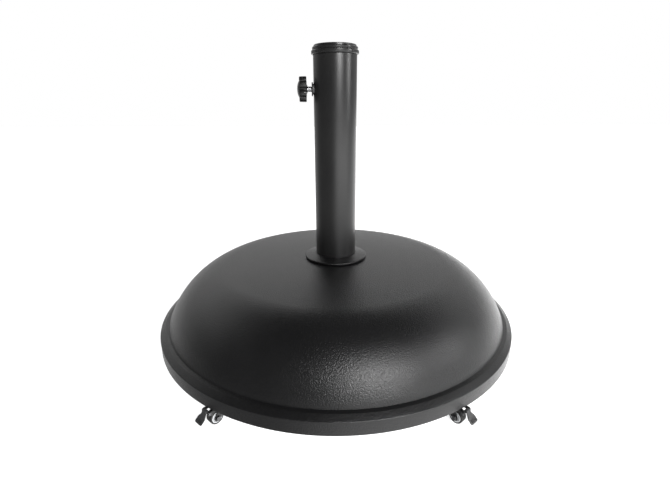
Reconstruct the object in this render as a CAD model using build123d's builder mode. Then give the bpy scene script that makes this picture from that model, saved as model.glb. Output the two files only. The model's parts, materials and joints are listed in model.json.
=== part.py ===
from build123d import *
from math import atan2, cos, radians, sin
import os

# Parasol base: a domed steel shell filled with concrete, a pole tube with a clamp screw, and four
# small swivel casters with brakes. Millimetres, +Z up, origin on the floor at the tube's axis.

# Base shell. Heights of the shell are counted from its lower edge, the rim.
base_radius = 270.0
rim_height = 12.5           # straight part of the rim band
rim_round = 8.0             # rounded shoulder above the band
shell_thickness = 1.5
crown_height = 104.7        # top of the dome
crown_radius = 1850.0       # the dome is three tangent arcs, from the axis outwards
crown_turn = 5.2
shoulder_radius = 90.2
shoulder_turn = 21.7
side_radius = 119.4
side_turn = 40.1
fill_gap = 0.3              # shrinkage gap between the concrete and the shell
pan_thickness = 1.2

# Pole tube and what is on it.
tube_radius = 30.4
tube_wall = 2.0
collar_bottom = 424.6       # lower edge of the collar's skirt
collar_height = 12.4
collar_bore = 24.5
sleeve_length = 30.0
skirt_height = 4.0
flange_radius = 47.5
flange_edge = 2.6
flange_rise = 3.3

# Clamp screw through the tube wall.
clamp_height = 380.0
clamp_azimuth = 185.0
bush_radius = 7.3
bush_disc_radius = 9.5
bush_disc_thickness = 1.5
bush_reach = 32.9           # distance of the bush's outer face from the tube's axis
stud_radius = 4.0
thread_clearance = 0.06
stud_exposed = 7.4
knob_radius = 17.1
knob_valley = 12.9
lobe_circle = 11.6
knob_thickness = 10.2
knob_dome = 2.8
knob_hub = 1.2              # back hub, towards the tube
knob_lobes = 6
pad_radius = 5.5
pad_face = 24.7

# Casters: four alike, with their swivel axes on one circle.
caster_height = 27.0
caster_circle = 251.0
caster_azimuth = 33.2       # from the front and back directions
caster_heading = 42.0       # where the wheel trails to at rest, from the same directions
trail = 9.5
wheel_radius = 8.8
wheel_width = 10.0
core_radius = 6.9
axle_radius = 1.7
pin_clearance = 0.06
plate_size = 31.0
plate_thickness = 2.0
screw_spacing = 23.0
screw_radius = 1.95
screw_head_radius = 3.8
kingpin_radius = 2.5
race_height = 1.7
crown_plate = 1.4           # fork crown thickness
swivel_gap = 0.35
leg_gap = 0.5
leg_thickness = 1.4
leg_end_radius = 4.2
ear_radius = 2.4
brake_pivot = (19.4, 20.4)
brake_pin_radius = 1.1
pedal_thickness = 1.7

tube_bore = tube_radius - tube_wall
collar_top = collar_bottom + collar_height
tube_top = collar_bottom + skirt_height
rim_bottom = caster_height
anchor_bottom = rim_bottom + 6.0
anchor_thickness = 5.0
tube_bottom = anchor_bottom + anchor_thickness
seat_height = 20.0
anchor_radius = 75.0
bar_radius = 4.0
bar_length = 180.0

os.makedirs("parts", exist_ok=True)


def write(part, name):
    part.label = name
    export_step(part, f"parts/{name}.step")


def dome_arcs(inset):
    """The dome's three arcs in the XZ plane, drawn from the axis outwards, inset from the outside."""
    crown = JernArc(
        start=(0, rim_bottom + crown_height - inset),
        tangent=(1, 0),
        radius=crown_radius - inset,
        arc_size=-crown_turn,
    )
    shoulder = JernArc(
        start=crown @ 1, tangent=crown % 1, radius=shoulder_radius - inset, arc_size=-shoulder_turn
    )
    return JernArc(
        start=shoulder @ 1, tangent=shoulder % 1, radius=side_radius - inset, arc_size=-side_turn
    )


def cavity_outline(inset):
    """Closed outline of the space under the shell's skin, from the axis to the rim."""
    side = dome_arcs(shell_thickness + inset)
    wall = base_radius - shell_thickness - inset
    Polyline(
        side @ 1,
        (255.4 - inset, rim_bottom + 20.6 - inset),
        (261.4 - inset, rim_bottom + 17.6 - inset),
        (266.2 - inset, rim_bottom + 15.4 - inset),
        (wall, rim_bottom + rim_height - 1.0),
        (wall, rim_bottom),
        (0, rim_bottom),
        (0, rim_bottom + crown_height - shell_thickness - inset),
    )


# Shell: dome, riser, ledge bead between two grooves, rounded shoulder and vertical band.
shoulder_start = (
    base_radius - rim_round + rim_round * cos(radians(75)),
    rim_bottom + rim_height + rim_round * sin(radians(75)),
)
with BuildPart() as shell:
    with BuildSketch(Plane.XZ):
        with BuildLine():
            side = dome_arcs(0)
            FilletPolyline(
                side @ 1,
                (257.9, rim_bottom + 24.9),
                (257.1, rim_bottom + 22.2),
                (260.5, rim_bottom + 21.8),
                (262.8, rim_bottom + 19.1),
                shoulder_start,
                radius=(0.9, 0.5, 2.2, 0.5),
            )
            RadiusArc(shoulder_start, (base_radius, rim_bottom + rim_height), rim_round)
            Polyline(
                (base_radius, rim_bottom + rim_height),
                (base_radius, rim_bottom),
                (0, rim_bottom),
                (0, rim_bottom + crown_height),
            )
        make_face()
        with BuildLine():
            cavity_outline(0)
        make_face(mode=Mode.SUBTRACT)
    revolve(axis=Axis.Z)
    with Locations((0, 0, rim_bottom + crown_height)):
        Hole(tube_radius + 0.6, depth=20)
write(shell.part, "shell")


# Steel inside the concrete: anchor plate under the tube and four bars laid on it.
with BuildPart() as anchor_plate:
    with BuildSketch(Plane.XY.offset(anchor_bottom)):
        Circle(anchor_radius)
        with PolarLocations(anchor_radius - 14, 8, start_angle=22.5):
            Circle(6, mode=Mode.SUBTRACT)
    extrude(amount=anchor_thickness)
write(anchor_plate.part, "anchor_plate")

with BuildPart() as anchor_bars:
    for turn in range(4):
        bar_plane = Plane(
            origin=(0, 0, tube_bottom + bar_radius),
            z_dir=(cos(radians(90 * turn)), sin(radians(90 * turn)), 0),
        )
        with BuildSketch(bar_plane.offset(tube_radius + 3)):
            Circle(bar_radius)
        extrude(amount=bar_length)
write(anchor_bars.part, "anchor_bars")


# Places of the casters: swivel axis, radial direction and rest heading of each.
casters = []
for side_name, x_side, y_side in (
    ("front_left", -1, -1), ("front_right", 1, -1), ("back_left", -1, 1), ("back_right", 1, 1)
):
    across = x_side * caster_circle * sin(radians(caster_azimuth))
    along = y_side * caster_circle * cos(radians(caster_azimuth))
    radial_turn = y_side * (90 - caster_azimuth) if x_side > 0 else y_side * (90 + caster_azimuth)
    heading_turn = y_side * (90 - caster_heading) if x_side > 0 else y_side * (90 + caster_heading)
    plate_place = Location((across, along, 0), (0, 0, radial_turn))
    rest_place = Location((across, along, 0), (0, 0, heading_turn))
    casters.append((side_name, plate_place, rest_place))

screw_places = [
    plate_place * Location((x, y, 0))
    for _, plate_place, _ in casters
    for x in (-screw_spacing / 2, screw_spacing / 2)
    for y in (-screw_spacing / 2, screw_spacing / 2)
]
insert_radius = 3.6
insert_length = 11.0
screw_length = 13.9
insert_bottom = rim_bottom + pan_thickness + 0.2

with BuildPart() as caster_inserts:
    with Locations(*screw_places):
        with Locations((0, 0, insert_bottom)):
            Cylinder(insert_radius, insert_length, align=(Align.CENTER, Align.CENTER, Align.MIN))
            Cylinder(
                screw_radius, insert_length,
                align=(Align.CENTER, Align.CENTER, Align.MIN), mode=Mode.SUBTRACT,
            )
write(caster_inserts.part, "caster_inserts")

with BuildPart() as screw:
    with BuildSketch(Plane.XZ):
        with BuildLine():
            Polyline(
                (0, 0.1), (screw_head_radius, 0.1), (screw_radius, 2.1),
                (screw_radius, screw_length - 0.9), (0, screw_length), (0, 0.1),
            )
        make_face()
    revolve(axis=Axis.Z)
    with BuildSketch(Plane.XY.offset(0.1)):
        Rectangle(3.4, 0.8)
        Rectangle(0.8, 3.4)
    extrude(amount=1.0, mode=Mode.SUBTRACT)
with BuildPart() as caster_screws:
    for place in screw_places:
        add(place * Location((0, 0, rim_bottom - plate_thickness)) * screw.part)
write(caster_screws.part, "caster_screws")

with BuildPart() as bottom_pan:
    with BuildSketch(Plane.XY.offset(rim_bottom)):
        Circle(base_radius - shell_thickness)
        with Locations(*screw_places):
            Circle(screw_radius + 0.25, mode=Mode.SUBTRACT)
    extrude(amount=pan_thickness)
write(bottom_pan.part, "bottom_pan")

# Concrete: fills the shell, with room for the tube, the anchor and the inserts.
with BuildPart() as concrete_fill:
    with BuildSketch(Plane.XZ):
        with BuildLine():
            cavity_outline(fill_gap)
        make_face()
    revolve(axis=Axis.Z)
    with BuildSketch(Plane.XY.offset(rim_bottom)):
        Circle(base_radius)
    extrude(amount=pan_thickness + 0.2, mode=Mode.SUBTRACT)
    with BuildSketch(Plane.XY.offset(anchor_bottom)):
        Circle(tube_radius + fill_gap)
    extrude(amount=crown_height, mode=Mode.SUBTRACT)
    with BuildSketch(Plane.XY.offset(anchor_bottom - fill_gap)):
        Circle(anchor_radius + fill_gap)
    extrude(amount=anchor_thickness + 2 * fill_gap, mode=Mode.SUBTRACT)
    for turn in range(4):
        bar_plane = Plane(
            origin=(0, 0, tube_bottom + bar_radius),
            z_dir=(cos(radians(90 * turn)), sin(radians(90 * turn)), 0),
        )
        with BuildSketch(bar_plane.offset(tube_radius)):
            Circle(bar_radius + fill_gap)
        extrude(amount=bar_length + 3 + fill_gap, mode=Mode.SUBTRACT)
    with Locations(*screw_places):
        with Locations((0, 0, insert_bottom - 1)):
            Cylinder(
                insert_radius + 0.1, insert_length + 1.3,
                align=(Align.CENTER, Align.CENTER, Align.MIN), mode=Mode.SUBTRACT,
            )
write(concrete_fill.part, "concrete_fill")


# Pole tube, with the hole that the clamp screw passes through.
clamp_out = (cos(radians(clamp_azimuth)), sin(radians(clamp_azimuth)), 0)
clamp_plane = Plane(origin=(0, 0, clamp_height), z_dir=clamp_out)
with BuildPart() as pole_tube:
    with BuildSketch(Plane.XY.offset(tube_bottom)):
        Circle(tube_radius)
        Circle(tube_bore, mode=Mode.SUBTRACT)
    extrude(amount=tube_top - tube_bottom)
    with BuildSketch(clamp_plane):
        Circle(stud_radius + 0.6)
    extrude(amount=tube_radius + 5, mode=Mode.SUBTRACT)
write(pole_tube.part, "pole_tube")

with BuildPart() as pole_seat:
    with BuildSketch(Plane.XZ):
        with BuildLine():
            Polyline(
                (6, tube_bottom), (tube_bore - 0.2, tube_bottom),
                (tube_bore - 0.2, tube_bottom + seat_height),
                (tube_bore - 2.5, tube_bottom + seat_height),
                (tube_bore - 6.5, tube_bottom + seat_height - 7),
                (6, tube_bottom + seat_height - 8), (6, tube_bottom),
            )
        make_face()
    revolve(axis=Axis.Z)
write(pole_seat.part, "pole_seat")

# Foot flange: a pressed cone round the tube, on a recessed seal that leaves a shadow gap.
seal_bottom = rim_bottom + crown_height - 0.2
seal_top = seal_bottom + 0.9
flange_top = seal_top + flange_edge
with BuildPart() as flange_seal:
    with BuildSketch(Plane.XY.offset(seal_bottom)):
        Circle(flange_radius - 3.5)
        Circle(tube_radius + 0.7, mode=Mode.SUBTRACT)
    extrude(amount=seal_top - seal_bottom)
write(flange_seal.part, "flange_seal")

with BuildPart() as foot_flange:
    with BuildSketch(Plane.XZ):
        with BuildLine():
            FilletPolyline(
                (tube_radius + 0.2, seal_top),
                (flange_radius, seal_top),
                (flange_radius, flange_top),
                (tube_radius + 0.2, flange_top + flange_rise),
                radius=(0.5, 1.2),
            )
            Line((tube_radius + 0.2, flange_top + flange_rise), (tube_radius + 0.2, seal_top))
        make_face()
    revolve(axis=Axis.Z)
write(foot_flange.part, "foot_flange")

# Collar: a guide sleeve inside the tube, a skirt over its end and two round beads.
with BuildPart() as top_collar:
    with BuildSketch(Plane.XZ):
        with BuildLine():
            FilletPolyline(
                (collar_bore, tube_top - sleeve_length),
                (tube_bore - 0.1, tube_top - sleeve_length),
                (tube_bore - 0.1, tube_top),
                (tube_radius + 0.15, tube_top),
                (tube_radius + 0.15, collar_bottom),
                (32.9, collar_bottom),
                (32.9, collar_bottom + 5.0),
                (31.1, collar_bottom + 5.8),
                (31.4, collar_bottom + 6.6),
                (31.4, collar_bottom + 9.4),
                (29.5, collar_bottom + 10.2),
                (29.1, collar_top),
                (collar_bore, collar_top),
                radius=(0.4, 0.05, 0.1, 0.3, 1.6, 2.0, 0.3, 0.3, 1.0, 0.4, 1.0),
            )
            Line((collar_bore, collar_top), (collar_bore, tube_top - sleeve_length))
        make_face()
    revolve(axis=Axis.Z)
write(top_collar.part, "top_collar")


# Clamp bush: welded to the tube, with a wider disc at its mouth.
disc_inner = bush_reach - bush_disc_thickness
with BuildPart() as clamp_bush:
    with BuildSketch(clamp_plane.offset(tube_bore + 1)):
        Circle(bush_radius)
        Circle(stud_radius + thread_clearance, mode=Mode.SUBTRACT)
    extrude(amount=disc_inner - tube_bore - 1)
    with BuildSketch(Plane.XY.offset(clamp_height - 15)):
        Circle(tube_radius)
    extrude(amount=30, mode=Mode.SUBTRACT)
write(clamp_bush.part, "clamp_bush")

with BuildPart() as bush_disc:
    with BuildSketch(clamp_plane.offset(disc_inner)):
        Circle(bush_disc_radius)
        Circle(stud_radius + thread_clearance, mode=Mode.SUBTRACT)
    extrude(amount=bush_disc_thickness)
    rims = bush_disc.edges().filter_by(GeomType.CIRCLE).group_by(SortBy.RADIUS)[-1]
    fillet(rims, 0.5)
write(bush_disc.part, "bush_disc")

# Knob: a six-lobed hand wheel with a low dome on its front.
knob_back = bush_reach + stud_exposed
insert_depth = 8.0
with BuildPart() as knob:
    with BuildSketch(clamp_plane.offset(knob_back)):
        Circle(knob_valley)
        with PolarLocations(lobe_circle, knob_lobes, start_angle=0):
            Circle(knob_radius - lobe_circle)
    extrude(amount=knob_thickness)
    front = knob.faces().filter_by(GeomType.PLANE).sort_by(Axis((0, 0, 0), clamp_out))[-1]
    fillet(front.edges(), 1.0)
    with BuildSketch(clamp_plane.offset(knob_back)):
        Circle(6.5)
    extrude(amount=-knob_hub)
    dome_base = knob_back + knob_thickness - 0.4
    with BuildSketch(clamp_plane.offset(dome_base)):
        Circle(11.6)
    extrude(amount=knob_dome + 0.4, taper=35)
    tip = knob.faces().filter_by(GeomType.PLANE).sort_by(Axis((0, 0, 0), clamp_out))[-1]
    fillet(tip.edges(), 4.0)
    with BuildSketch(clamp_plane.offset(knob_back - knob_hub)):
        Circle(stud_radius)
    extrude(amount=insert_depth + knob_hub, mode=Mode.SUBTRACT)
write(knob.part, "knob")

# Stud: screws through the bush; its reduced nose turns in the clamp pad.
nose_radius = 2.5
stud_shoulder = 27.3
nose_tip = 25.7
with BuildPart() as knob_stud:
    with BuildSketch(clamp_plane.offset(stud_shoulder)):
        Circle(stud_radius)
    extrude(amount=knob_back + insert_depth - stud_shoulder)
    with BuildSketch(clamp_plane.offset(nose_tip)):
        Circle(nose_radius)
    extrude(amount=stud_shoulder - nose_tip)
write(knob_stud.part, "knob_stud")

with BuildPart() as clamp_pad:
    with BuildSketch(clamp_plane.offset(pad_face)):
        Circle(pad_radius)
    extrude(amount=2.2)
    with BuildSketch(clamp_plane.offset(pad_face + 0.65)):
        Circle(nose_radius + pin_clearance)
    extrude(amount=2.0, mode=Mode.SUBTRACT)
write(clamp_pad.part, "clamp_pad")


# Caster pieces, each made once about its swivel axis, with the wheel trailing to +X.
plate_bottom = caster_height - plate_thickness
fork_top = plate_bottom - race_height - swivel_gap
fork_bottom = fork_top - crown_plate
leg_inner = wheel_width / 2 + leg_gap
leg_outer = leg_inner + leg_thickness
wheel_plane = Plane(origin=(trail, 0, wheel_radius), x_dir=(1, 0, 0), z_dir=(0, -1, 0))

with BuildPart() as caster_plate:
    with BuildSketch(Plane.XY.offset(plate_bottom)):
        RectangleRounded(plate_size, plate_size, 4.5)
        Circle(kingpin_radius, mode=Mode.SUBTRACT)
    extrude(amount=plate_thickness)
    with Locations((0, 0, plate_bottom)):
        with GridLocations(screw_spacing, screw_spacing, 2, 2):
            Cone(
                screw_head_radius + 0.2, screw_radius + 0.2, plate_thickness,
                align=(Align.CENTER, Align.CENTER, Align.MIN), mode=Mode.SUBTRACT,
            )

with BuildPart() as swivel_race:
    with BuildSketch(Plane.XY.offset(plate_bottom - race_height)):
        Circle(9.5)
        Circle(5.5, mode=Mode.SUBTRACT)
    extrude(amount=race_height)
    fillet(swivel_race.edges().group_by(Axis.Z)[0], 0.5)

with BuildPart() as kingpin:
    with BuildSketch(Plane.XY.offset(fork_bottom - swivel_gap - 1.0)):
        Circle(3.6)
    extrude(amount=1.0)
    with BuildSketch(Plane.XY.offset(fork_bottom - swivel_gap)):
        Circle(kingpin_radius)
    extrude(amount=caster_height - fork_bottom + swivel_gap)

with BuildPart() as fork:
    with BuildSketch(Plane.XY.offset(fork_bottom)):
        Circle(9.3)
        with Locations((7, 0)):
            Rectangle(14, 2 * leg_outer)
        Circle(kingpin_radius + pin_clearance, mode=Mode.SUBTRACT)
    extrude(amount=crown_plate)
    crown_middle = (fork_top + fork_bottom) / 2
    for leg_start in (leg_inner, -leg_outer):
        leg_plane = Plane(origin=(0, leg_start + leg_thickness, 0), x_dir=(1, 0, 0), z_dir=(0, -1, 0))
        with BuildSketch(leg_plane):
            with Locations((trail, wheel_radius)):
                Circle(leg_end_radius)
            with Locations((1.5, crown_middle)):
                Rectangle(10, crown_plate)
            make_hull()
        extrude(amount=leg_thickness)
        with BuildSketch(leg_plane):
            with Locations(brake_pivot):
                Circle(ear_radius)
            with Locations((6, crown_middle)):
                Rectangle(12, crown_plate)
            make_hull()
        extrude(amount=leg_thickness)
    with BuildSketch(wheel_plane):
        Circle(axle_radius)
        with Locations((brake_pivot[0] - trail, brake_pivot[1] - wheel_radius)):
            Circle(brake_pin_radius)
    extrude(amount=leg_outer, both=True, mode=Mode.SUBTRACT)

with BuildPart() as wheel_core:
    with BuildSketch(wheel_plane):
        Circle(core_radius)
        Circle(axle_radius + pin_clearance, mode=Mode.SUBTRACT)
    extrude(amount=wheel_width / 2 - 0.1, both=True)
    for face_plane in (
        wheel_plane.offset(wheel_width / 2 - 1.5), wheel_plane.offset(-wheel_width / 2 - 1.5)
    ):
        with BuildSketch(face_plane):
            Circle(5.3)
            Circle(3.4, mode=Mode.SUBTRACT)
        extrude(amount=3, mode=Mode.SUBTRACT)

with BuildPart() as tyre:
    with BuildSketch(wheel_plane):
        Circle(wheel_radius)
        Circle(core_radius, mode=Mode.SUBTRACT)
    extrude(amount=wheel_width / 2, both=True)
    treads = tyre.edges().filter_by(GeomType.CIRCLE).group_by(SortBy.RADIUS)[-1]
    fillet(treads, 0.8)

with BuildPart() as axle:
    with BuildSketch(wheel_plane):
        Circle(axle_radius)
    extrude(amount=leg_outer, both=True)
    for head_plane, head_height in (
        (wheel_plane.offset(leg_outer), 1.8), (wheel_plane.offset(-leg_outer), -1.8)
    ):
        with BuildSketch(head_plane):
            RegularPolygon(3.2, 6)
        extrude(amount=head_height)
    chamfer(axle.edges().group_by(Axis.Y)[0], 0.3)
    chamfer(axle.edges().group_by(Axis.Y)[-1], 0.3)

brake_plane = Plane(origin=(brake_pivot[0], 0, brake_pivot[1]), x_dir=(1, 0, 0), z_dir=(0, -1, 0))
with BuildPart() as brake_pin:
    with BuildSketch(brake_plane):
        Circle(brake_pin_radius)
    extrude(amount=leg_outer, both=True)
    for head_plane, head_height in (
        (brake_plane.offset(leg_outer), 0.7), (brake_plane.offset(-leg_outer), -0.7)
    ):
        with BuildSketch(head_plane):
            Circle(1.9)
        extrude(amount=head_height)

# Brake pedal: a barrel on the pin, a shoe down to the tread and a paddle that slopes outwards.
blade_path = ((22.3, 22.7), (23.3, 19.4), (27.0, 16.0), (32.0, 11.6))
neck_half = 3.6
toe_half = 6.9
shoe_reach = 5.15           # from the pin to the middle of the shoe's round tip
shoe_radius = 1.2
with BuildPart() as brake_pedal:
    with BuildSketch(Plane.XZ):
        with BuildLine():
            blade_line = FilletPolyline(*blade_path, radius=(3, 12))
        trace(blade_line, line_width=pedal_thickness)
        for rib in (0.78, 0.86, 0.94):
            with Locations(blade_line @ rib + Vector(0.5, 0.6)):
                Circle(0.5)
    extrude(amount=toe_half + 0.2, both=True)
    with BuildSketch(Plane.YZ):
        for side_sign in (-1, 1):
            with BuildLine():
                FilletPolyline(
                    (0, 24.5), (side_sign * neck_half, 24.5), (side_sign * neck_half, 19.0),
                    (side_sign * toe_half, 15.8), (side_sign * toe_half, 10.6), (0, 10.6),
                    radius=(1.0, 2.0, 2.5, 1.8),
                )
                Line((0, 10.6), (0, 24.5))
            make_face()
    extrude(amount=40, mode=Mode.INTERSECT)
    tread_turn = atan2(wheel_radius - brake_pivot[1], trail - brake_pivot[0])
    with BuildSketch(brake_plane):
        Circle(1.9)
        with Locations((shoe_reach * cos(tread_turn), shoe_reach * sin(tread_turn))):
            Circle(shoe_radius)
        make_hull()
    extrude(amount=leg_inner - 0.4, both=True)
    with BuildSketch(brake_plane):
        Circle(1.9)
        with Locations((3.2, 0.9)):
            Circle(1.2)
        make_hull()
    extrude(amount=neck_half, both=True)
    with BuildSketch(brake_plane):
        Circle(brake_pin_radius + pin_clearance)
    extrude(amount=leg_inner, both=True, mode=Mode.SUBTRACT)

for side_name, plate_place, rest_place in casters:
    write(plate_place * caster_plate.part, f"{side_name}_caster_plate")
    write(plate_place * swivel_race.part, f"{side_name}_swivel_race")
    write(plate_place * kingpin.part, f"{side_name}_kingpin")
    write(rest_place * fork.part, f"{side_name}_fork")
    write(rest_place * axle.part, f"{side_name}_axle")
    write(rest_place * wheel_core.part, f"{side_name}_wheel_core")
    write(rest_place * tyre.part, f"{side_name}_tyre")
    write(rest_place * brake_pin.part, f"{side_name}_brake_pin")
    write(rest_place * brake_pedal.part, f"{side_name}_brake_pedal")
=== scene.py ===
import json
from math import asin, atan2, cos, pi, radians, sin, sqrt

import bmesh
import bpy
from mathutils import Matrix, Vector


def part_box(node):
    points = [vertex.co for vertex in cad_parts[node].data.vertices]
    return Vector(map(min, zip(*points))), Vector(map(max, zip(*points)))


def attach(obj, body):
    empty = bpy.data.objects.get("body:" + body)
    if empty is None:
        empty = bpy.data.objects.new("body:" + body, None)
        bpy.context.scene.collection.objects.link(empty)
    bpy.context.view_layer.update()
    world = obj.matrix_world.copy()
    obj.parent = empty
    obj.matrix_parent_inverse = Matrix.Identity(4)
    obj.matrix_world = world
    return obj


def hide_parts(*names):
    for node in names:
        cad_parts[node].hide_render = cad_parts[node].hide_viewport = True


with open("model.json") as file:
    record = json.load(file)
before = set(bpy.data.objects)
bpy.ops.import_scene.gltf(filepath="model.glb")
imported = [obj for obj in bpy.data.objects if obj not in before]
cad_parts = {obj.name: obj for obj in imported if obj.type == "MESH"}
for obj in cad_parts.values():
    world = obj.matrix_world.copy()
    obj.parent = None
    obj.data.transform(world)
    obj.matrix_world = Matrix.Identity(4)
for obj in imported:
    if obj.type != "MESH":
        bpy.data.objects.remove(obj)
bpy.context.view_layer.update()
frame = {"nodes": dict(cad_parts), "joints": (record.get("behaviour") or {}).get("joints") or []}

MM = 0.001


# ---------------------------------------------------------------- mesh helpers

def finish_mesh(name, verts, faces, place=None, smooth_angle=32):
    """A closed, smooth-shaded mesh object; edges sharper than smooth_angle stay crisp."""
    mesh = bpy.data.meshes.new(name)
    mesh.from_pydata([tuple(v) for v in verts], [], faces)
    work = bmesh.new()
    work.from_mesh(mesh)
    bmesh.ops.remove_doubles(work, verts=work.verts, dist=1e-6)
    bmesh.ops.dissolve_degenerate(work, edges=work.edges, dist=1e-7)
    bmesh.ops.recalc_face_normals(work, faces=work.faces)
    work.to_mesh(mesh)
    work.free()
    if place is not None:
        mesh.transform(place)
    shade(mesh, smooth_angle)
    piece = bpy.data.objects.new(name, mesh)
    bpy.context.scene.collection.objects.link(piece)
    return piece


def shade(mesh, smooth_angle=32):
    """Smooth shading, with edges sharper than smooth_angle kept crisp."""
    mesh.polygons.foreach_set("use_smooth", [True] * len(mesh.polygons))
    mesh.set_sharp_from_angle(angle=radians(smooth_angle))
    mesh.update()


def rounded(points, radii, steps=5):
    """An outline with each corner eased by a curve that leaves it as an arc of that radius would."""
    count = len(points)
    result = []
    for i, radius in enumerate(radii):
        here = Vector(points[i])
        before = Vector(points[i - 1]) - here
        after = Vector(points[(i + 1) % count]) - here
        if radius <= 0:
            result.append(tuple(here))
            continue
        half = before.angle(after) / 2
        wanted = radius / max(1e-6, abs(sin(half) / cos(half)))
        reach = min(wanted, before.length * 0.49, after.length * 0.49)
        start = here + before.normalized() * reach
        end = here + after.normalized() * reach
        for k in range(steps + 1):
            t = k / steps
            result.append(tuple(start * (1 - t) ** 2 + here * 2 * t * (1 - t) + end * t ** 2))
    return result


def lathe(name, outline, steps=160, place=None, smooth_angle=32):
    """A solid of revolution about Z from a closed (radius, height) outline.

    A third number in a point is a count of flats: the ring there is that polygon, measured to its corners.
    """
    verts = []
    faces = []
    rows = len(outline)
    for k in range(steps):
        turn = 2 * pi * k / steps
        for r, z, *flats in outline:
            if flats:
                half = pi / flats[0]
                r *= cos(half) / cos(turn % (2 * half) - half)
            verts.append((r * cos(turn), r * sin(turn), z))
    for k in range(steps):
        near = k * rows
        far = ((k + 1) % steps) * rows
        for i in range(rows):
            j = (i + 1) % rows
            if outline[i][0] < 1e-9 and outline[j][0] < 1e-9:
                continue
            faces.append((near + i, near + j, far + j, far + i))
    return finish_mesh(name, verts, faces, place, smooth_angle)


def ring_quads(rings, around):
    """Faces between each ring of points and the next, for that many steps of equal rings."""
    faces = []
    for ring in range(rings):
        near = ring * around
        far = near + around
        for k in range(around):
            j = (k + 1) % around
            faces.append((near + k, near + j, far + j, far + k))
    return faces


def slab(name, outline, low, high, bevel):
    """A plate with the given (x, y) outline between two heights, with eased edges."""
    count = len(outline)
    levels = [(low, bevel), (low + bevel, 0.0), (high - bevel, 0.0), (high, bevel)]
    verts = []
    for z, inset in levels:
        for i, (x, y) in enumerate(outline):
            ax, ay = outline[i - 1]
            bx, by = outline[(i + 1) % count]
            nx, ny = by - ay, ax - bx
            length = sqrt(nx * nx + ny * ny) or 1.0
            verts.append((x - inset * nx / length, y - inset * ny / length, z))
    faces = [tuple(reversed(range(count)))]
    faces += ring_quads(len(levels) - 1, count)
    top = (len(levels) - 1) * count
    faces.append(tuple(range(top, top + count)))
    return finish_mesh(name, verts, faces)


def circle(x, y, radius, steps, start=0.0, sweep=2 * pi):
    """Points of a whole circle, or of the part of it from start through sweep."""
    closed = abs(sweep - 2 * pi) < 1e-9
    last = steps if closed else steps + 1
    return [
        (x + radius * cos(start + sweep * k / steps), y + radius * sin(start + sweep * k / steps))
        for k in range(last)
    ]


def hull(points):
    """Convex hull of a set of (x, y) points, counter-clockwise."""
    ordered = sorted(set((round(x, 9), round(y, 9)) for x, y in points))

    def chain(sequence):
        result = []
        for p in sequence:
            while len(result) > 1:
                (ax, ay), (bx, by) = result[-2], result[-1]
                if (bx - ax) * (p[1] - ay) - (by - ay) * (p[0] - ax) > 1e-12:
                    break
                result.pop()
            result.append(p)
        return result[:-1]

    return chain(ordered) + chain(reversed(ordered))


def boolean(target, tool, operation):
    """Cuts or joins tool into target and removes the tool."""
    change = target.modifiers.new("boolean", "BOOLEAN")
    change.operation = operation
    change.solver = "EXACT"
    change.object = tool
    bpy.context.view_layer.update()
    graph = bpy.context.evaluated_depsgraph_get()
    mesh = bpy.data.meshes.new_from_object(target.evaluated_get(graph))
    target.modifiers.remove(change)
    target.data = mesh
    bpy.data.objects.remove(tool)
    shade(mesh)


def millimetres(outline):
    """An outline in millimetres turned into metres; any count of flats passes through."""
    return [(x * MM, y * MM, *rest) for x, y, *rest in outline]


# ---------------------------------------------------------------- materials

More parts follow.
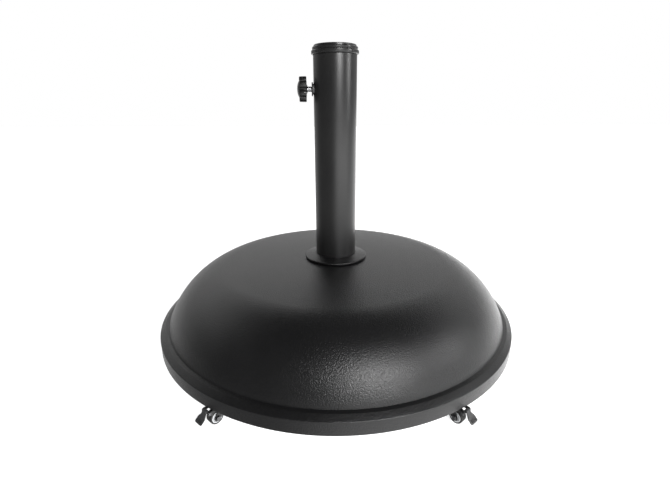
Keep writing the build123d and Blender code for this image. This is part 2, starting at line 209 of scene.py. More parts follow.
class Surface:
    """A procedural material on object coordinates, built node by node."""

    def __init__(self, name, metallic=0.0, ior=1.5):
        self.material = bpy.data.materials.new(name)
        self.material.use_nodes = True
        self.tree = self.material.node_tree
        self.shader = self.tree.nodes["Principled BSDF"]
        self.shader.inputs["Metallic"].default_value = metallic
        self.shader.inputs["IOR"].default_value = ior
        self.place = self.node("ShaderNodeTexCoord").outputs["Object"]
        self.normal = None

    def node(self, kind, **settings):
        made = self.tree.nodes.new(kind)
        for key, value in settings.items():
            setattr(made, key, value)
        return made

    def link(self, source, target):
        self.tree.links.new(source, target)

    def stretched(self, x, y, z):
        """The object's coordinates scaled unevenly, for brushed or drawn marks."""
        mapping = self.node("ShaderNodeMapping")
        mapping.inputs["Scale"].default_value = (x, y, z)
        self.link(self.place, mapping.inputs["Vector"])
        return mapping.outputs["Vector"]

    def noise(self, scale, detail=3.0, roughness=0.55, place=None):
        made = self.node("ShaderNodeTexNoise")
        made.inputs["Scale"].default_value = scale
        made.inputs["Detail"].default_value = detail
        made.inputs["Roughness"].default_value = roughness
        self.link(place or self.place, made.inputs["Vector"])
        return made.outputs["Fac"]

    def cells(self, scale, feature="F1", output="Distance"):
        made = self.node("ShaderNodeTexVoronoi", feature=feature)
        made.inputs["Scale"].default_value = scale
        self.link(self.place, made.inputs["Vector"])
        return made.outputs[output]

    def ramp(self, source, low, high, start=0.3, end=0.7):
        made = self.node("ShaderNodeValToRGB")
        first, second = made.color_ramp.elements
        first.position, second.position = start, end
        first.color = (*low, 1.0)
        second.color = (*high, 1.0)
        self.link(source, made.inputs["Fac"])
        return made.outputs["Color"]

    def spread(self, source, low, high, start=0.3, end=0.7):
        made = self.node("ShaderNodeMapRange")
        made.inputs["From Min"].default_value = start
        made.inputs["From Max"].default_value = end
        made.inputs["To Min"].default_value = low
        made.inputs["To Max"].default_value = high
        self.link(source, made.inputs["Value"])
        return made.outputs["Result"]

    def multiply(self, first, second):
        made = self.node("ShaderNodeMix", data_type="RGBA", blend_type="MULTIPLY")
        made.inputs[0].default_value = 1.0
        self.link(first, made.inputs[6])
        self.link(second, made.inputs[7])
        return made.outputs[2]

    def colour(self, source):
        self.link(source, self.shader.inputs["Base Color"])

    def gloss(self, source):
        self.link(source, self.shader.inputs["Roughness"])

    def bump(self, height, distance, strength):
        """Adds relief on top of any relief already there."""
        made = self.node("ShaderNodeBump")
        made.inputs["Strength"].default_value = strength
        made.inputs["Distance"].default_value = distance
        self.link(height, made.inputs["Height"])
        if self.normal is not None:
            self.link(self.normal, made.inputs["Normal"])
        self.normal = made.outputs["Normal"]
        self.link(self.normal, self.shader.inputs["Normal"])


def powder_coat(name, dark, light, gloss_low, gloss_high, grain, depth):
    """Textured black powder coat: fine orange peel, faint cloudiness and sparse brighter specks."""
    s = Surface(name, ior=1.45)
    cloud = s.ramp(s.noise(11, 4), dark, light)
    speck = s.ramp(s.noise(1500, 2), (0.75, 0.75, 0.75), (1.35, 1.35, 1.35), 0.42, 0.72)
    s.colour(s.multiply(cloud, speck))
    s.gloss(s.spread(s.noise(260, 5, 0.6), gloss_low, gloss_high))
    s.bump(s.noise(grain, 3, 0.6), depth, 0.55)
    s.bump(s.cells(grain * 1.7, "SMOOTH_F1"), depth * 0.5, 0.35)
    return s.material


def moulded_plastic(name, dark, light, gloss_low, gloss_high, grain=900, depth=0.00006):
    """Injection-moulded plastic: fine spark-eroded grain, slow flow marks, faint handling wear."""
    s = Surface(name, ior=1.48)
    s.colour(s.ramp(s.noise(45, 5, 0.62), dark, light))
    s.gloss(s.spread(s.noise(170, 4), gloss_low, gloss_high))
    s.bump(s.noise(grain, 4, 0.65), depth, 0.5)
    s.bump(s.noise(60, 2), depth * 4, 0.12)
    return s.material


def turned_steel(name, tint, gloss_low, gloss_high, lines=2600):
    """Bright steel with fine drawn lines and soft tarnish."""
    s = Surface(name, metallic=1.0)
    dark = tuple(c * 0.72 for c in tint)
    s.colour(s.ramp(s.noise(130, 5, 0.6), dark, tint))
    drawn = s.noise(1.0, 3, 0.5, s.stretched(lines, lines, lines * 0.12))
    s.gloss(s.spread(drawn, gloss_low, gloss_high))
    s.bump(drawn, 0.00002, 0.4)
    return s.material


def zinc_sheet(name, tint, spangle=70):
    """Galvanised steel: crystal spangles that differ in tone and gloss."""
    s = Surface(name, metallic=1.0)
    crystal = s.cells(spangle, "F1", "Color")
    grey = s.node("ShaderNodeSeparateColor")
    s.link(crystal, grey.inputs["Color"])
    tone = grey.outputs["Red"]
    dark = tuple(c * 0.7 for c in tint)
    s.colour(s.ramp(tone, dark, tint, 0.0, 1.0))
    s.gloss(s.spread(tone, 0.30, 0.5, 0.0, 1.0))
    s.bump(s.noise(500, 4), 0.00004, 0.4)
    return s.material


def cast_concrete(name):
    """Cast concrete: stones in a sandy grey paste."""
    s = Surface(name)
    stones = s.ramp(s.cells(120), (0.30, 0.29, 0.27), (0.47, 0.46, 0.43), 0.1, 0.6)
    sand = s.ramp(s.noise(700, 6, 0.7), (0.8, 0.8, 0.8), (1.15, 1.14, 1.1))
    s.colour(s.multiply(stones, sand))
    s.gloss(s.spread(s.noise(90), 0.8, 0.97))
    s.bump(s.noise(420, 6, 0.7), 0.0008, 0.6)
    return s.material


def hot_rolled(name):
    """Bare hot-rolled steel with brown and grey mill scale."""
    s = Surface(name, metallic=0.85)
    s.colour(s.ramp(s.noise(30, 6, 0.65), (0.10, 0.085, 0.075), (0.26, 0.25, 0.25)))
    s.gloss(s.spread(s.noise(80, 5), 0.45, 0.8))
    s.bump(s.noise(260, 5, 0.6), 0.0002, 0.5)
    return s.material


def tread_rubber(name):
    """Black rubber with dust in its grain."""
    s = Surface(name, ior=1.52)
    dust = s.ramp(s.noise(240, 6, 0.7), (0.010, 0.010, 0.010), (0.028, 0.027, 0.026), 0.35, 0.75)
    s.colour(dust)
    s.gloss(s.spread(s.noise(320, 4), 0.55, 0.8))
    s.bump(s.noise(1300, 4, 0.6), 0.00008, 0.6)
    return s.material


def brass(name):
    """Turned brass with uneven tarnish."""
    s = Surface(name, metallic=1.0)
    s.colour(s.ramp(s.noise(200, 4), (0.42, 0.30, 0.12), (0.66, 0.50, 0.22)))
    s.gloss(s.spread(s.noise(500, 3), 0.25, 0.45))
    s.bump(s.noise(900, 3), 0.00003, 0.4)
    return s.material


shell_coat = powder_coat(
    "shell_coat", (0.0062, 0.0062, 0.0066), (0.0100, 0.0100, 0.0104), 0.285, 0.33, 560, 0.00085
)
tube_coat = powder_coat(
    "tube_coat", (0.0100, 0.0100, 0.0104), (0.0150, 0.0149, 0.0148), 0.285, 0.34, 800, 0.00010
)
# Bush neck coat: a grey far lighter than the black disc beside it, painted light standing in for the lit
# middle of the clamp boss.
bush_coat = powder_coat("bush_coat", (0.08, 0.08, 0.082), (0.13, 0.13, 0.132), 0.35, 0.5, 1100, 0.0001)
fork_coat = powder_coat(
    "fork_coat", (0.008, 0.008, 0.008), (0.014, 0.014, 0.014), 0.28, 0.42, 1200, 0.00008
)
collar_plastic = moulded_plastic(
    "collar_plastic", (0.0075, 0.0075, 0.0078), (0.013, 0.013, 0.013), 0.24, 0.36
)
knob_plastic = moulded_plastic("knob_plastic", (0.006, 0.006, 0.006), (0.011, 0.011, 0.011), 0.20, 0.32)
pedal_plastic = moulded_plastic(
    "pedal_plastic", (0.030, 0.030, 0.031), (0.048, 0.048, 0.049), 0.40, 0.52, 1400, 0.0001
)
core_plastic = moulded_plastic("core_plastic", (0.50, 0.51, 0.52), (0.64, 0.65, 0.66), 0.26, 0.38)
seat_plastic = moulded_plastic("seat_plastic", (0.02, 0.02, 0.02), (0.035, 0.035, 0.035), 0.5, 0.65)
bright_steel = turned_steel("bright_steel", (0.78, 0.78, 0.79), 0.12, 0.26)
bolt_steel = turned_steel("bolt_steel", (0.16, 0.16, 0.165), 0.3, 0.45)
race_steel = turned_steel("race_steel", (0.10, 0.10, 0.105), 0.34, 0.5, 1500)
zinc_plate = turned_steel("zinc_plate", (0.62, 0.63, 0.65), 0.24, 0.4, 1500)
galvanised = zinc_sheet("galvanised", (0.62, 0.63, 0.64))
concrete = cast_concrete("concrete")
raw_steel = hot_rolled("raw_steel")
tyre_rubber = tread_rubber("tyre_rubber")
seal_rubber = tread_rubber("seal_rubber")
pad_brass = brass("pad_brass")


def dress(piece, body, slot, material, *nodes):
    """Gives a piece its material and its body, and hides the CAD nodes that it stands for; slot is not
    used.
    """
    piece.data.materials.clear()
    piece.data.materials.append(material)
    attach(piece, body)
    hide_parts(*nodes)


# ---------------------------------------------------------------- base shell

shell_low, shell_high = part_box("shell")
base_radius = shell_high.x / MM
rim = shell_low.z / MM
crown_radius, crown_turn = 1850.0, 5.2
shoulder_radius, shoulder_turn = 90.2, 21.7
side_radius, side_turn = 119.4, 40.1
crown_height = 104.7
shell_thickness = 1.5
hole_radius = 30.6
band_height = 17.6
ledge_foot = (257.4, rim + 23.3)
ledge_crest = (262.6, rim + 22.5)


def dome_points(inset, from_radius):
    """The dome's three tangent arcs from the hole's edge to its lower corner, inset from the outside."""
    points = []
    x, z = 0.0, rim + crown_height - crown_radius
    heading = 0.0
    arcs = (
        (crown_radius, crown_turn, 14),
        (shoulder_radius, shoulder_turn, 22),
        (side_radius, side_turn, 34),
    )
    for index, (radius, turn, steps) in enumerate(arcs):
        for k in range(steps + 1):
            angle = radians(heading + turn * k / steps)
            spot = (x + (radius - inset) * sin(angle), z + (radius - inset) * cos(angle))
            if spot[0] > from_radius and not (k == 0 and index > 0):
                points.append(spot)
        heading += turn
        if index < 2:
            step = radius - arcs[index + 1][0]
            x += step * sin(radians(heading))
            z += step * cos(radians(heading))
    edge_height = rim + crown_height - inset - from_radius ** 2 / (2 * crown_radius)
    return [(from_radius, edge_height)] + points


def shell_outline():
    """The section of the shell: dome, sloping ledge, upright band, and the concrete's side of all three."""
    outside = dome_points(0.0, hole_radius)
    inside = dome_points(shell_thickness, hole_radius)
    band_inside = base_radius - shell_thickness
    ledge = rounded(
        [outside[-1], ledge_foot, ledge_crest, (base_radius, rim + band_height), (base_radius, rim + 6.0)],
        [0, 0.7, 1.6, 1.3, 0], 6,
    )
    foot = rounded(
        [(base_radius, rim + 3), (base_radius, rim), (band_inside, rim), (band_inside, rim + 3)],
        [0, 0.6, 0.6, 0], 4,
    )
    cavity = [(band_inside, rim + 11.5), (266.2, rim + 15.4), (261.4, rim + 17.6), (255.4, rim + 20.6)]
    return outside[:-1] + ledge + foot + cavity + list(reversed(inside))


shell = lathe("dome_shell", millimetres(shell_outline()), 256, smooth_angle=26)
dress(shell, "base", "powder_coat", shell_coat, "shell")

# ---------------------------------------------------------------- foot flange

flange_low, flange_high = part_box("foot_flange")
flange_radius = flange_high.x / MM
flange_base = flange_low.z / MM
flange_top = flange_high.z / MM
tube_low, tube_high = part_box("pole_tube")
tube_radius = tube_high.x / MM
tube_bore = tube_radius - 2.0
tube_clear = tube_radius + 0.15
flange = lathe(
    "escutcheon",
    millimetres(rounded(
        [
            (tube_clear, flange_base), (flange_radius, flange_base), (flange_radius, flange_base + 2.6),
            (tube_radius + 5, flange_top - 1.0), (tube_radius + 1.6, flange_top), (tube_clear, flange_top),
        ],
        [0, 0.6, 1.3, 6.0, 0.8, 0.2], 6,
    )),
    192,
)
dress(flange, "base", "powder_coat", shell_coat, "foot_flange")

# ---------------------------------------------------------------- pole tube and collar

tube = lathe(
    "pole_sleeve",
    millimetres(rounded(
        [
            (tube_radius, tube_low.z / MM), (tube_radius, tube_high.z / MM),
            (tube_bore, tube_high.z / MM), (tube_bore, tube_low.z / MM),
        ],
        [0.3, 0.4, 0.4, 0.3], 3,
    )),
    192,
)
dress(tube, "base", "powder_coat", tube_coat, "pole_tube")

collar_low, collar_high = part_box("top_collar")
collar_top = collar_high.z / MM
collar_bottom = collar_top - 12.4
lower_bead = tube_radius + 2.5
groove = tube_radius + 0.6
upper_bead = tube_radius + 1.1
collar_bore = 24.5
collar_foot = collar_low.z / MM
sleeve_radius = tube_bore - 0.1
skirt = tube_high.z / MM
collar = lathe(
    "guide_collar",
    millimetres(rounded(
        [
            (collar_bore, collar_foot), (sleeve_radius, collar_foot), (sleeve_radius, skirt),
            (tube_clear, skirt), (tube_clear, collar_bottom), (lower_bead, collar_bottom),
            (lower_bead, collar_bottom + 5.0), (groove, collar_bottom + 5.5),
            (groove, collar_bottom + 6.2), (upper_bead, collar_bottom + 6.6),
            (upper_bead, collar_bottom + 9.4), (tube_radius - 0.8, collar_bottom + 9.9),
            (tube_radius - 1.1, collar_top), (collar_bore, collar_top),
        ],
        [0.6, 0.8, 0.05, 0.05, 0.3, 1.9, 2.0, 0.3, 0.3, 1.1, 1.2, 0.4, 1.3, 0.8], 6,
    )),
    192,
)
dress(collar, "base", "collar_plastic", collar_plastic, "top_collar")

# ---------------------------------------------------------------- clamp: bush, stud, knob

knob_joint = next(j for j in frame["joints"] if j["name"] == "knob_turn")
inward = Vector(knob_joint["axis"]).normalized()
outward = -inward
clamp_centre = Vector(knob_joint["pos_m"])
upward = Vector((0, 0, 1))
clamp_place = Matrix.Translation(clamp_centre) @ Matrix((
    (upward.x, outward.cross(upward).x, outward.x, 0),
    (upward.y, outward.cross(upward).y, outward.y, 0),
    (upward.z, outward.cross(upward).z, outward.z, 0),
    (0, 0, 0, 1),
))

stud_radius = 4.0
stud_bore = stud_radius + 0.06
thread_pitch, thread_depth = 1.25, 0.62
thread_start = 27.3
nose_radius, nose_end = 2.5, 25.7
bush_start = 29.0
bush_radius = 7.3
disc_radius = 9.5
disc_inner = 31.4
disc_outer = 32.9
knob_back = 40.3
knob_depth = 10.2
knob_hub = 1.2
knob_bore_depth = 8.0
knob_dome = 2.8
face_land = 1.35
neck = lathe(
    "bush_neck",
    millimetres(rounded(
        [
            (stud_bore, bush_start), (bush_radius + 0.8, bush_start), (bush_radius, 30.2),
            (bush_radius, disc_inner), (stud_bore, disc_inner),
        ],
        [0, 0, 0.5, 0, 0], 4,
    )),
    96, clamp_place,
)
# The neck takes the lighter grey coat: painted light for the lit middle of the boss.
dress(neck, "base", "bush_paint", bush_coat, "clamp_bush")
disc = lathe(
    "bush_disc_rim",
    millimetres(rounded(
        [
            (stud_bore, disc_inner), (disc_radius, disc_inner),
            (disc_radius, disc_outer), (stud_bore, disc_outer),
        ],
        [0, 0.5, 0.6, 0.4], 5,
    )),
    96, clamp_place,
)
dress(disc, "base", "powder_coat", fork_coat, "bush_disc")


def threaded_rod(name, radius, low, high, place):
    """A stud with a real helical thread that fades out at its low end, and a plain nose there."""
    around = 36
    step = thread_pitch / 10
    rows = int((high - low) / step)
    verts = []
    for row in range(rows + 1):
        z = low + (high - low) * row / rows
        for k in range(around):
            phase = (z / thread_pitch - k / around) % 1.0
            crest = max(0.0, min(1.0, 1.25 - 2.5 * abs(phase - 0.5)))
            runout = min(1.0, (z - low) / 0.8)
            r = radius - thread_depth * (1 - crest * runout)
            verts.append((r * cos(2 * pi * k / around), r * sin(2 * pi * k / around), z))
    for z in (low, nose_end):
        verts += [(x, y, z) for x, y in circle(0, 0, nose_radius, around)]
    faces = ring_quads(rows, around)
    inner = (rows + 1) * around
    tip = inner + around
    for k in range(around):
        j = (k + 1) % around
        faces.append((k, inner + k, inner + j, j))
        faces.append((inner + k, tip + k, tip + j, inner + j))
    faces.append(tuple(range(tip, tip + around)))
    faces.append(tuple(reversed(range(rows * around, (rows + 1) * around))))
    return finish_mesh(name, [(x * MM, y * MM, z * MM) for x, y, z in verts], faces, place, 40)


stud = threaded_rod("threaded_stud", stud_radius, thread_start, knob_back + knob_bore_depth, clamp_place)
dress(stud, "clamp_knob", "bright_steel", bright_steel, "knob_stud")


def lobed_radius(turn, lobes=6, valley=12.8, lobe_centre=11.6, lobe_radius=5.5):
    """Distance from the axis to the knob's outline: round lobes that melt into a round body."""
    off = (turn * lobes / (2 * pi) + 0.5) % 1.0 - 0.5
    angle = off * 2 * pi / lobes
    inside = lobe_radius ** 2 - (lobe_centre * sin(angle)) ** 2
    lobe = lobe_centre * cos(angle) + sqrt(inside) if inside > 0 else 0.0
    return (lobe ** 18 + valley ** 18) ** (1 / 18)


def star_knob(name, place):
    """Six-lobed hand knob: eased lobes with a slight draft, a domed cap on a fine step, a blind bore."""
    around = 240
    rings = [
        ("round", 4.05, knob_bore_depth), ("round", 4.05, 0.3 - knob_hub), ("round", 4.4, -knob_hub),
        ("round", 5.4, -knob_hub), ("round", 6.0, 0.4 - knob_hub), ("round", 6.5, -0.1),
        ("round", 7.2, 0.0),
        ("lobe", 4.4, 0.0), ("lobe", 0.9, 0.0), ("lobe", 0.35, 0.15), ("lobe", 0.0, 0.7),
        ("lobe", 0.05, 4.0), ("lobe", 0.2, knob_depth - 1.4), ("lobe", 0.4, knob_depth - 0.7),
        ("lobe", 0.8, knob_depth - 0.2), ("lobe", 1.3, knob_depth),
        ("round", 11.7, knob_depth - 0.05), ("round", 11.4, knob_depth - 0.3), ("round", 11.1, knob_depth),
        ("round", 10.4, knob_depth + 0.6), ("round", 8.8, knob_depth + 1.35),
        ("round", 6.8, knob_depth + 2.05), ("round", 4.4, knob_depth + 2.55),
        ("round", 2.2, knob_depth + 2.75),
    ]
    verts = []
    for kind, size, z in rings:
        for k in range(around):
            turn = 2 * pi * k / around
            r = size if kind == "round" else lobed_radius(turn) - size
            if kind == "round" and size > 11.0:
                r = min(size, lobed_radius(turn) - face_land)
            verts.append((r * cos(turn) * MM, r * sin(turn) * MM, (knob_back + z) * MM))
    faces = ring_quads(len(rings) - 1, around)
    last = (len(rings) - 1) * around
    verts.append((0, 0, (knob_back + knob_bore_depth) * MM))
    verts.append((0, 0, (knob_back + knob_depth + knob_dome) * MM))
    for k in range(around):
        j = (k + 1) % around
        faces.append((j, k, len(verts) - 2))
        faces.append((last + k, last + j, len(verts) - 1))
    return finish_mesh(name, verts, faces, place, 30)


knob = star_knob("star_knob", clamp_place)
dress(knob, "clamp_knob", "knob_plastic", knob_plastic, "knob")

# ---------------------------------------------------------------- casters

trail, wheel_radius, wheel_width = 9.5, 8.8, 10.0
core_radius = 6.9
axle_radius = 1.7
fork_top, fork_bottom = 22.95, 21.55
leg_inner, leg_outer = 5.5, 6.9
leg_end, ear = 4.2, 2.4
pivot = (19.4, 20.4)
pin_radius = 1.1
turning_gap = 0.06
fork_crown_radius, fork_crown_reach = 9.3, 14.0
kingpin_bore = 2.56
leg_back, leg_front = -3.5, 6.5
arm_start = 12
groove_near, groove_far, groove_depth = 1.1, 1.9, 0.35
hex_radius, hex_height = 3.2, 1.8
barrel_radius = 1.9
shoe_reach, shoe_radius, shoe_half = 5.15, 1.2, leg_inner - 0.4
web_radius, web_half = 1.3, 3.55
blade_route = [(22.3, 22.7), (23.3, 19.4), (27.0, 16.0), (32.0, 11.6)]
neck_width, toe_width = 4.3, 6.6
rib_places, rib_half, rib_height = (0.70, 0.78, 0.86), 0.026, 0.5
dish_start, dish_end, dish_depth = 0.12, 0.62, 0.28


def across(x, z):
    """Place of a shape drawn about Z so that it turns about the caster's cross axis at (x, z)."""
    return Matrix.Translation((x * MM, 0, z * MM)) @ Matrix.Rotation(radians(90), 4, "X")


def upright(offset):
    """Stands a slab up, so that its outline's height is Z and its thickness ends at this Y."""
    return Matrix.Translation((0, offset, 0)) @ Matrix.Rotation(radians(90), 4, "X")


def mirrored(half):
    """A closed outline from one half, drawn for positive heights, and its mirror image."""
    return half + [(r, -z, *rest) for r, z, *rest in reversed(half)]


def make_tyre(name, place):
    """Tyre with softened shoulders and two grooves."""
    half = wheel_width / 2
    profile = [
        (core_radius, half - 0.15), (core_radius + 0.25, half - 0.02), (wheel_radius - 0.7, half - 0.02),
        (wheel_radius - 0.3, half - 0.2), (wheel_radius - 0.08, half - 0.6),
        (wheel_radius - 0.02, half - 1.2),
        (wheel_radius, groove_far), (wheel_radius - groove_depth, 1.7),
        (wheel_radius - groove_depth, 1.3), (wheel_radius, groove_near),
    ]
    return lathe(name, millimetres(mirrored(profile)), 96, place @ across(trail, wheel_radius), 40)


def make_core(name, place):
    """Wheel core: a hub, a shallow round recess and a pale outer ring on each side."""
    half = wheel_width / 2 - 0.1
    profile = [
        (axle_radius + turning_gap, half), (2.4, half), (3.2, half - 0.05), (3.4, half - 0.5),
        (3.5, half - 1.4),
        (4.9, half - 1.4), (5.2, half - 1.0), (5.3, half - 0.4), (5.45, half - 0.1), (5.7, half),
        (6.5, half), (6.78, half - 0.1), (core_radius, half - 0.35),
    ]
    return lathe(name, millimetres(mirrored(profile)), 96, place @ across(trail, wheel_radius), 34)


def make_axle(name, place):
    """Axle bolt with a chamfered hexagon at each end."""
    half = leg_outer
    profile = [
        (0, half + 1.95), (1.6, half + 1.95), (1.9, half + hex_height), (2.7, half + hex_height),
        (hex_radius, half + 1.45, 6), (hex_radius, half + 0.1, 6), (3.0, half, 6),
        (axle_radius, half), (axle_radius, 0.0),
    ]
    return lathe(name, millimetres(mirrored(profile)), 72, place @ across(trail, wheel_radius), 24)


def make_pin(name, place):
    """Brake pin with a low round head at each end."""
    half = leg_outer
    profile = [
        (0, half + 0.85), (0.8, half + 0.8), (1.5, half + 0.55), (1.9, half + 0.1), (1.9, half),
        (pin_radius, half), (pin_radius, 0.0),
    ]
    return lathe(name, millimetres(mirrored(profile)), 48, place @ across(*pivot), 34)


def tangent_angle(point, centre, radius, side):
    """Angle on a circle, seen from its centre, where the line from a point touches it."""
    dx, dy = centre[0] - point[0], centre[1] - point[1]
    reach = sqrt(dx * dx + dy * dy)
    return atan2(dy, dx) + side * (asin(radius / reach) + pi / 2)


def leg_outline():
    """One fork leg: a tapering plate down to the axle and an arm out to the brake pin."""
    axle = (trail, wheel_radius)
    back = (leg_back, fork_bottom)
    front = (leg_front, fork_bottom)
    low = tangent_angle(back, axle, leg_end, -1)
    high = tangent_angle(front, axle, leg_end, 1)
    under = tangent_angle((0, fork_bottom), pivot, ear, -1)
    over = tangent_angle((arm_start, fork_top), pivot, ear, 1)
    foot = circle(*axle, leg_end, 28, low, high - low)
    arm = circle(*pivot, ear, 28, under, over - under)
    (ax, ay), (bx, by) = foot[-1], front
    (cx, cy), (dx, dy) = arm[0], (0, fork_bottom)
    cross = (bx - ax) * (dy - cy) - (by - ay) * (dx - cx)
    share = ((cx - ax) * (dy - cy) - (cy - ay) * (dx - cx)) / cross
    crotch = (ax + (bx - ax) * share, ay + (by - ay) * share)
    inner = rounded([foot[-1], crotch, arm[0]], [0, 2.0, 0], 6)
    return [(leg_back, fork_top), back] + foot[:-1] + inner + arm[1:] + [(arm_start, fork_top)]


def make_fork(name, place):
    """Pressed fork: a round crown and two legs with arms for the brake pin."""
    corner = leg_outer - 0.4
    waist = hull(
        circle(0, 0, fork_crown_radius, 64)
        + [(fork_crown_reach - 0.4, leg_outer), (fork_crown_reach, corner)]
        + [(fork_crown_reach, -corner), (fork_crown_reach - 0.4, -leg_outer)]
    )
    crown = slab(name, millimetres(waist), fork_bottom * MM, fork_top * MM, 0.25 * MM)
    for low in (leg_inner, -leg_outer):
        leg = slab("leg", millimetres(leg_outline()), 0, (leg_outer - leg_inner) * MM, 0.22 * MM)
        leg.data.transform(upright((low + leg_outer - leg_inner) * MM))
        boolean(crown, leg, "UNION")
    hole_low, hole_high = fork_bottom - 2, fork_top + 2
    hole = [(0, hole_low), (kingpin_bore, hole_low), (kingpin_bore, hole_high), (0, hole_high)]
    boolean(crown, lathe("bore", millimetres(hole), 40), "DIFFERENCE")
    crown.data.transform(place)
    return crown


def make_pedal(name, place):
    """Moulded brake pedal: a thin curved blade that widens to a ribbed toe, on a barrel with a shoe."""
    path = rounded(blade_route, [0, 3, 12, 0], 8)
    lengths = [0.0]
    for (ax, az), (bx, bz) in zip(path, path[1:]):
        lengths.append(lengths[-1] + sqrt((bx - ax) ** 2 + (bz - az) ** 2))
    total = lengths[-1]

    def spot(t):
        want = t * total
        i = max(k for k in range(len(path) - 1) if lengths[k] <= want + 1e-9)
        share = (want - lengths[i]) / max(1e-9, lengths[i + 1] - lengths[i])
        (ax, az), (bx, bz) = path[i], path[i + 1]
        norm = sqrt((bx - ax) ** 2 + (bz - az) ** 2)
        return ax + (bx - ax) * share, az + (bz - az) * share, -(bz - az) / norm, (bx - ax) / norm

    def half_width(t):
        blend = max(0.0, min(1.0, (t - 0.22) / 0.34))
        width = neck_width + (toe_width - neck_width) * blend * blend * (3 - 2 * blend)
        for edge, corner in ((t, 1.0), (1 - t, 1.9)):
            depth = edge * total
            if depth < corner:
                width -= corner - sqrt(max(0.0, corner ** 2 - (corner - depth) ** 2))
        return width

    along, section = 56, 20
    verts = []
    for k in range(along + 1):
        t = k / along
        x, z, nx, nz = spot(t)
        width = half_width(t)
        rib = 0.0
        for centre in rib_places:
            if abs(t - centre) < rib_half:
                rib = rib_height * sqrt(1 - ((t - centre) / rib_half) ** 2)
        swell = min(1.0, 6 * t, 14 * (1 - t) + 0.35)
        thick = 0.85 * max(0.5, swell)
        for j in range(section):
            angle = 2 * pi * j / section
            across_share = abs(cos(angle)) ** 0.35 * (1 if cos(angle) >= 0 else -1)
            depth_share = abs(sin(angle)) ** 0.55 * (1 if sin(angle) >= 0 else -1)
            lift = thick * depth_share
            if depth_share > 0.5 and abs(across_share) < 0.86:
                lift += rib
            if depth_share > 0.5 and dish_start < t < dish_end:
                dish = min(1.0, (t - dish_start) / 0.08, (dish_end - t) / 0.08)
                lift -= dish_depth * dish * max(0.0, 1 - (across_share / 0.75) ** 2)
            verts.append(((x + nx * lift) * MM, width * across_share * MM, (z + nz * lift) * MM))
    faces = [tuple(range(section)), tuple(reversed(range(along * section, (along + 1) * section)))]
    faces += ring_quads(along, section)
    blade = finish_mesh(name, verts, faces, None, 38)
    shoe = atan2(wheel_radius - pivot[1], trail - pivot[0])
    shoe_tip = (pivot[0] + shoe_reach * cos(shoe), pivot[1] + shoe_reach * sin(shoe))
    barrel = circle(*pivot, barrel_radius, 40)
    shoe_shape = hull(barrel + circle(*shoe_tip, shoe_radius, 24))
    web_shape = hull(barrel + circle(pivot[0] + 2.2, pivot[1] + 2.4, web_radius, 24))
    for shape, half in ((shoe_shape, shoe_half), (web_shape, web_half)):
        part = slab("part", millimetres(shape), 0, 2 * half * MM, 0.25 * MM)
        part.data.transform(upright(half * MM))
        boolean(blade, part, "UNION")
    pin_bore = pin_radius + turning_gap
    hole = [(0, -9), (pin_bore, -9), (pin_bore, 9), (0, 9)]
    boolean(blade, lathe("bore", millimetres(hole), 32, across(*pivot)), "DIFFERENCE")
    blade.data.transform(place)
    return blade


caster_names = [j["name"].removesuffix("_swivel") for j in frame["joints"] if j["name"].endswith("_swivel")]
for caster in caster_names:
    swivel = next(j for j in frame["joints"] if j["name"] == caster + "_swivel")
    roll = next(j for j in frame["joints"] if j["name"] == caster + "_roll")
    heading = atan2(roll["axis"][1], roll["axis"][0]) - pi / 2
    x, y, _ = swivel["pos_m"]
    place = Matrix.Translation((x, y, 0)) @ Matrix.Rotation(heading, 4, "Z")
    swivel_body, wheel_body, brake_body = caster + "_swivel", caster + "_wheel", caster + "_brake"
    for make, name, body, slot, material, node in (
        (make_fork, "_yoke", swivel_body, "caster_black", fork_coat, "_fork"),
        (make_axle, "_axle_rivet", swivel_body, "bright_steel", bolt_steel, "_axle"),
        (make_pin, "_pivot_rivet", swivel_body, "bright_steel", bolt_steel, "_brake_pin"),
        (make_core, "_rim", wheel_body, "core_plastic", core_plastic, "_wheel_core"),
        (make_tyre, "_tread", wheel_body, "tyre_rubber", tyre_rubber, "_tyre"),
        (make_pedal, "_pedal", brake_body, "pedal_plastic", pedal_plastic, "_brake_pedal"),
    ):
        dress(make(caster + name, place), body, slot, material, caster + node)

# ---------------------------------------------------------------- carried-over CAD nodes

kept = {
    "concrete_fill": concrete, "bottom_pan": galvanised, "anchor_plate": raw_steel,
    "anchor_bars": raw_steel, "pole_seat": seat_plastic, "flange_seal": seal_rubber,
    "caster_inserts": zinc_plate, "caster_screws": zinc_plate, "clamp_pad": pad_brass,
}
for caster in caster_names:
    kept[caster + "_caster_plate"] = fork_coat
    kept[caster + "_swivel_race"] = race_steel
    kept[caster + "_kingpin"] = race_steel
for node, material in kept.items():
    carried = frame["nodes"][node]
    carried.data.materials.clear()
    carried.data.materials.append(material)

# ---------------------------------------------------------------- floor, light, camera

floor_material = bpy.data.materials.new("pale_floor")
floor_material.use_nodes = True
floor_shader = floor_material.node_tree.nodes["Principled BSDF"]
floor_shader.inputs["Base Color"].default_value = (0.86, 0.86, 0.86, 1)
floor_shader.inputs["Roughness"].default_value = 0.75
floor_shader.inputs["Emission Color"].default_value = (1, 1, 1, 1)
floor_tree = floor_material.node_tree
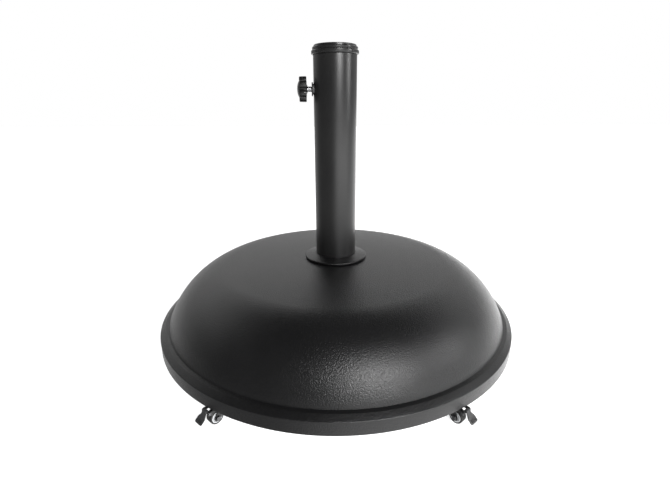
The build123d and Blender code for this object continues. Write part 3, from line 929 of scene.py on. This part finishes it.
# The floor glows less near the base than far off: painted shade around the base, and far off a glow bright
# enough to read as plain white.
floor_place = floor_tree.nodes.new("ShaderNodeTexCoord")
floor_reach = floor_tree.nodes.new("ShaderNodeVectorMath")
floor_reach.operation = "LENGTH"
floor_glow_with_painted_shade = floor_tree.nodes.new("ShaderNodeMapRange")
for key, value in (("From Min", 0.25), ("From Max", 0.8), ("To Min", 0.72), ("To Max", 1.05)):
    floor_glow_with_painted_shade.inputs[key].default_value = value
floor_tree.links.new(floor_place.outputs["Object"], floor_reach.inputs[0])
floor_tree.links.new(floor_reach.outputs["Value"], floor_glow_with_painted_shade.inputs["Value"])
floor_tree.links.new(floor_glow_with_painted_shade.outputs["Result"], floor_shader.inputs["Emission Strength"])
floor_size = 14.0
bpy.ops.mesh.primitive_plane_add(size=floor_size, location=(0, 0, 0))
floor = bpy.context.object
floor.name = "floor"
floor.visible_glossy = False
floor.data.materials.append(floor_material)

scene = bpy.context.scene
scene.view_settings.view_transform = "Standard"
world = bpy.data.worlds.new("studio")
scene.world = world
world.use_nodes = True
tree = world.node_tree
background = tree.nodes["Background"]


def world_node(kind, **values):
    """A node of the world, with its unlinked inputs set."""
    made = tree.nodes.new(kind)
    for key, value in values.items():
        made.inputs[key].default_value = value
    return made


def world_range(source, low, high, out_low, out_high):
    """A smooth step of one value into a range of another."""
    made = world_node(
        "ShaderNodeMapRange", **{"From Min": low, "From Max": high, "To Min": out_low, "To Max": out_high}
    )
    made.interpolation_type = "SMOOTHSTEP"
    tree.links.new(source, made.inputs["Value"])
    return made.outputs["Result"]


def world_math(operation, first, second):
    """One sum or product of two values."""
    made = world_node("ShaderNodeMath")
    made.operation = operation
    tree.links.new(first, made.inputs[0])
    tree.links.new(second, made.inputs[1])
    return made.outputs["Value"]


# What the object mirrors: bright behind up to about 40 degrees, dark overhead and in front, and below the
# horizon a floor that is paler to the right and behind. Heights are sines of the elevation.
direction = world_node("ShaderNodeTexCoord")
split = world_node("ShaderNodeSeparateXYZ")
tree.links.new(direction.outputs["Generated"], split.inputs["Vector"])
side, back, height = split.outputs["X"], split.outputs["Y"], split.outputs["Z"]
behind = world_range(back, -0.15, 0.55, 0.10, 1.0)
rising = world_range(height, 0.15, 0.56, 0.42, 1.75)
ceiling = world_range(height, 0.56, 0.66, 1.0, 0.05)
above = world_math("MULTIPLY", world_math("MULTIPLY", rising, ceiling), behind)
below = world_math("ADD", world_range(side, -0.45, 0.35, 0.30, 1.9), world_range(back, 0.0, 0.6, 0.0, 0.5))
horizon = 0.03
upper = world_range(height, -horizon, horizon, 0.0, 1.0)
lower = world_range(height, -horizon, horizon, 1.0, 0.0)
glow = world_math("ADD", world_math("MULTIPLY", above, upper), world_math("MULTIPLY", below, lower))
seen = world_node("ShaderNodeLightPath")
choose = world_node("ShaderNodeMix")
choose.data_type = "FLOAT"
tree.links.new(seen.outputs["Is Camera Ray"], choose.inputs["Factor"])
tree.links.new(glow, choose.inputs["A"])
choose.inputs["B"].default_value = 1.0
tree.links.new(choose.outputs["Result"], background.inputs["Strength"])
background.inputs["Color"].default_value = (1, 1, 1, 1)


def softbox(name, azimuth, elevation, distance, width, height, power):
    """An area light at an azimuth counted from +X, aimed at the middle of the base."""
    aim = Vector((0, 0, 0.1))
    data = bpy.data.lights.new(name, "AREA")
    data.shape = "RECTANGLE"
    data.size, data.size_y = width, height
    data.energy = power
    light = bpy.data.objects.new(name, data)
    scene.collection.objects.link(light)
    a, e = radians(azimuth), radians(elevation)
    light.location = aim + distance * Vector((cos(a) * cos(e), sin(a) * cos(e), sin(e)))
    light.rotation_mode = "QUATERNION"
    light.rotation_quaternion = (aim - light.location).to_track_quat("-Z", "Y")


softbox("key_front", azimuth=-65, elevation=31, distance=2.4, width=0.70, height=0.32, power=46)
softbox("fill_right", azimuth=-14, elevation=23, distance=2.4, width=0.5, height=0.6, power=14)
softbox("panel_right", azimuth=-54, elevation=5, distance=1.3, width=1.75, height=0.4, power=4.6)

focal = 22.36
eye_distance, eye_height = 0.6228, 0.3582
eye_pitch, eye_yaw, eye_roll = 17.91, 0.10, -0.22
camera_data = bpy.data.cameras.new("camera")
camera_data.sensor_width = 36.0
camera_data.lens = focal
camera_data.clip_start = 0.01
camera = bpy.data.objects.new("camera", camera_data)
scene.collection.objects.link(camera)
camera.rotation_mode = "QUATERNION"
turn = Matrix.Rotation(radians(eye_yaw), 4, "Z") @ Matrix.Rotation(radians(90 - eye_pitch), 4, "X")
turn = turn @ Matrix.Rotation(radians(eye_roll), 4, "Z")
camera.rotation_quaternion = turn.to_quaternion()
camera.location = (0, -eye_distance, eye_height)
scene.camera = camera
